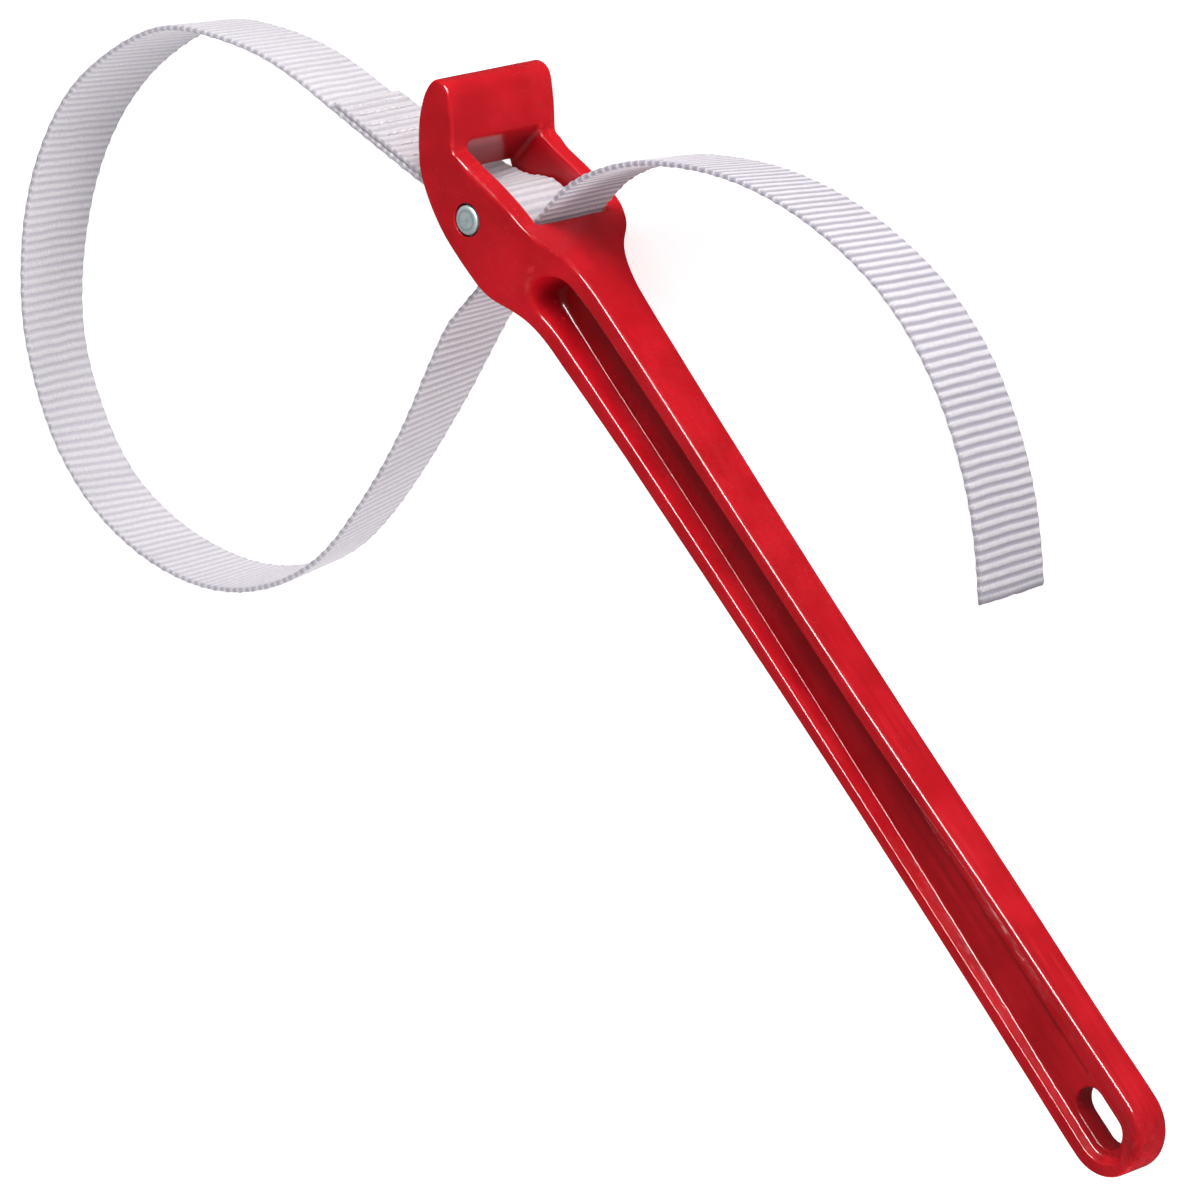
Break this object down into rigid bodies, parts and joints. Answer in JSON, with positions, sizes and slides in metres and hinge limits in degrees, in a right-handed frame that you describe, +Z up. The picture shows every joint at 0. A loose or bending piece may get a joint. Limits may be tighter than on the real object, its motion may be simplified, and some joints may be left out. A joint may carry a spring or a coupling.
{
  "type": "oil filter strap wrench",
  "caption": "Strap wrench: cast handle of I-section with a windowed head, a cross pin and a webbing strap looped from the pin and back through the head.",
  "frame": {"origin": "on the bench face, on the axis of the anchor pin", "axes": "+X along the handle from the pin to the tail, +Y towards the side where the free end of the strap leaves the head, +Z up along the pin; the wrench lies on its side"},
  "size_m": [0.4679, 0.3157, 0.0433],
  "materials": {
    "red_enamel": "gloss",
    "zinc_pin": "satin",
    "webbing": "ribbed weave",
    "thread": "twisted thread"
  },
  "bodies": {
    "handle": {"handle_casting": "red_enamel", "anchor_pin": "zinc_pin"},
    "eye": {"strap_eye": "webbing", "strap_stitching": "thread"},
    "loop_01": {"strap_loop_01": "webbing"},
    "loop_02": {"strap_loop_02": "webbing"},
    "loop_03": {"strap_loop_03": "webbing"},
    "loop_04": {"strap_loop_04": "webbing"},
    "loop_05": {"strap_loop_05": "webbing"},
    "loop_06": {"strap_loop_06": "webbing"},
    "loop_07": {"strap_loop_07": "webbing"},
    "loop_08": {"strap_loop_08": "webbing"},
    "loop_09": {"strap_loop_09": "webbing"},
    "loop_10": {"strap_loop_10": "webbing"},
    "loop_11": {"strap_loop_11": "webbing"},
    "loop_12": {"strap_loop_12": "webbing"},
    "slot_strand": {"strap_slot_strand": "webbing"},
    "tail_01": {"strap_tail_01": "webbing"},
    "tail_02": {"strap_tail_02": "webbing"},
    "tail_03": {"strap_tail_03": "webbing"},
    "tail_04": {"strap_tail_04": "webbing"},
    "tail_05": {"strap_tail_05": "webbing"},
    "tail_06": {"strap_tail_06": "webbing"}
  },
  "joints": [
    {"name": "eye_swivel", "type": "hinge", "parent": "handle", "child": "eye", "pos_m": [0, 0, 0.0215], "axis": [0, 0, 1], "range_deg": [-2.22, 5]},
    {"name": "loop_flex_01", "type": "hinge", "parent": "eye", "child": "loop_01", "pos_m": [-0.06098, -0.02894, 0.0215], "axis": [0, 0, 1], "range_deg": [-9.28, 4.15]},
    {"name": "loop_flex_02", "type": "hinge", "parent": "loop_01", "child": "loop_02", "pos_m": [-0.09642, -0.04605, 0.0215], "axis": [0, 0, 1], "range_deg": [-6.53, 2.93]},
    {"name": "loop_flex_03", "type": "hinge", "parent": "loop_02", "child": "loop_03", "pos_m": [-0.12382, -0.07436, 0.0215], "axis": [0, 0, 1], "range_deg": [-2.11, 4.68]},
    {"name": "loop_flex_04", "type": "hinge", "parent": "loop_03", "child": "loop_04", "pos_m": [-0.13284, -0.11287, 0.0215], "axis": [0, 0, 1], "range_deg": [-2.44, 5.43]},
    {"name": "loop_flex_05", "type": "hinge", "parent": "loop_04", "child": "loop_05", "pos_m": [-0.12497, -0.15156, 0.0215], "axis": [0, 0, 1], "range_deg": [-1.46, 3.21]},
    {"name": "loop_flex_06", "type": "hinge", "parent": "loop_05", "child": "loop_06", "pos_m": [-0.10254, -0.18417, 0.0215], "axis": [0, 0, 1], "range_deg": [-1.46, 3.21]},
    {"name": "loop_flex_07", "type": "hinge", "parent": "loop_06", "child": "loop_07", "pos_m": [-0.06827, -0.20352, 0.0215], "axis": [0, 0, 1], "range_deg": [-1.46, 3.21]},
    {"name": "loop_flex_08", "type": "hinge", "parent": "loop_07", "child": "loop_08", "pos_m": [-0.0291, -0.20279, 0.0215], "axis": [0, 0, 1], "range_deg": [-3.44, 1.56]},
    {"name": "loop_flex_09", "type": "hinge", "parent": "loop_08", "child": "loop_09", "pos_m": [0.00487, -0.18266, 0.0215], "axis": [0, 0, 1], "range_deg": [-3.21, 1.46]},
    {"name": "loop_flex_10", "type": "hinge", "parent": "loop_09", "child": "loop_10", "pos_m": [0.02578, -0.14929, 0.0215], "axis": [0, 0, 1], "range_deg": [-3.21, 1.46]},
    {"name": "loop_flex_11", "type": "hinge", "parent": "loop_10", "child": "loop_11", "pos_m": [0.02848, -0.10991, 0.0215], "axis": [0, 0, 1], "range_deg": [-3.21, 1.46]},
    {"name": "loop_flex_12", "type": "hinge", "parent": "loop_11", "child": "loop_12", "pos_m": [0.02195, -0.07068, 0.0215], "axis": [0, 0, 1], "range_deg": [-3.21, 1.46]},
    {"name": "loop_flex_13", "type": "hinge", "parent": "loop_12", "child": "slot_strand", "pos_m": [0.0132, -0.0319, 0.0215], "axis": [0, 0, 1], "range_deg": [-3.07, 6.85]},
    {"name": "tail_flex_01", "type": "hinge", "parent": "slot_strand", "child": "tail_01", "pos_m": [0.0132, 0.0251, 0.0215], "axis": [0, 0, -1], "range_deg": [-9, 4]},
    {"name": "tail_flex_02", "type": "hinge", "parent": "tail_01", "child": "tail_02", "pos_m": [0.02672, 0.05942, 0.0215], "axis": [0, 0, -1], "range_deg": [-9.7, 4.5]},
    {"name": "tail_flex_03", "type": "hinge", "parent": "tail_02", "child": "tail_03", "pos_m": [0.0532, 0.08562, 0.0215], "axis": [0, 0, -1], "range_deg": [-9.7, 4.5]},
    {"name": "tail_flex_04", "type": "hinge", "parent": "tail_03", "child": "tail_04", "pos_m": [0.08647, 0.10234, 0.0215], "axis": [0, 0, -1], "range_deg": [-9.7, 4.5]},
    {"name": "tail_flex_05", "type": "hinge", "parent": "tail_04", "child": "tail_05", "pos_m": [0.12328, 0.10718, 0.0215], "axis": [0, 0, -1], "range_deg": [-9.7, 4.5]},
    {"name": "tail_flex_06", "type": "hinge", "parent": "tail_05", "child": "tail_06", "pos_m": [0.15907, 0.09714, 0.0215], "axis": [0, 0, -1], "range_deg": [-9.7, 4.5]}
  ],
  "couplings": [
    {"joint": "loop_flex_01", "follows": "eye_swivel", "ratio": -1.6937},
    {"joint": "loop_flex_02", "follows": "eye_swivel", "ratio": -1.1895},
    {"joint": "loop_flex_03", "follows": "eye_swivel", "ratio": 0.84954},
    {"joint": "loop_flex_04", "follows": "eye_swivel", "ratio": 0.98792},
    {"joint": "loop_flex_05", "follows": "eye_swivel", "ratio": 0.58},
    {"joint": "loop_flex_06", "follows": "eye_swivel", "ratio": 0.58},
    {"joint": "loop_flex_07", "follows": "eye_swivel", "ratio": 0.58},
    {"joint": "loop_flex_08", "follows": "eye_swivel", "ratio": -0.62246},
    {"joint": "loop_flex_09", "follows": "eye_swivel", "ratio": -0.58},
    {"joint": "loop_flex_10", "follows": "eye_swivel", "ratio": -0.58},
    {"joint": "loop_flex_11", "follows": "eye_swivel", "ratio": -0.58},
    {"joint": "loop_flex_12", "follows": "eye_swivel", "ratio": -0.58},
    {"joint": "loop_flex_13", "follows": "eye_swivel", "ratio": 1.2482},
    {"joint": "tail_flex_02", "follows": "tail_flex_01", "ratio": 1},
    {"joint": "tail_flex_03", "follows": "tail_flex_01", "ratio": 1},
    {"joint": "tail_flex_04", "follows": "tail_flex_01", "ratio": 1},
    {"joint": "tail_flex_05", "follows": "tail_flex_01", "ratio": 1},
    {"joint": "tail_flex_06", "follows": "tail_flex_01", "ratio": 1}
  ]
}
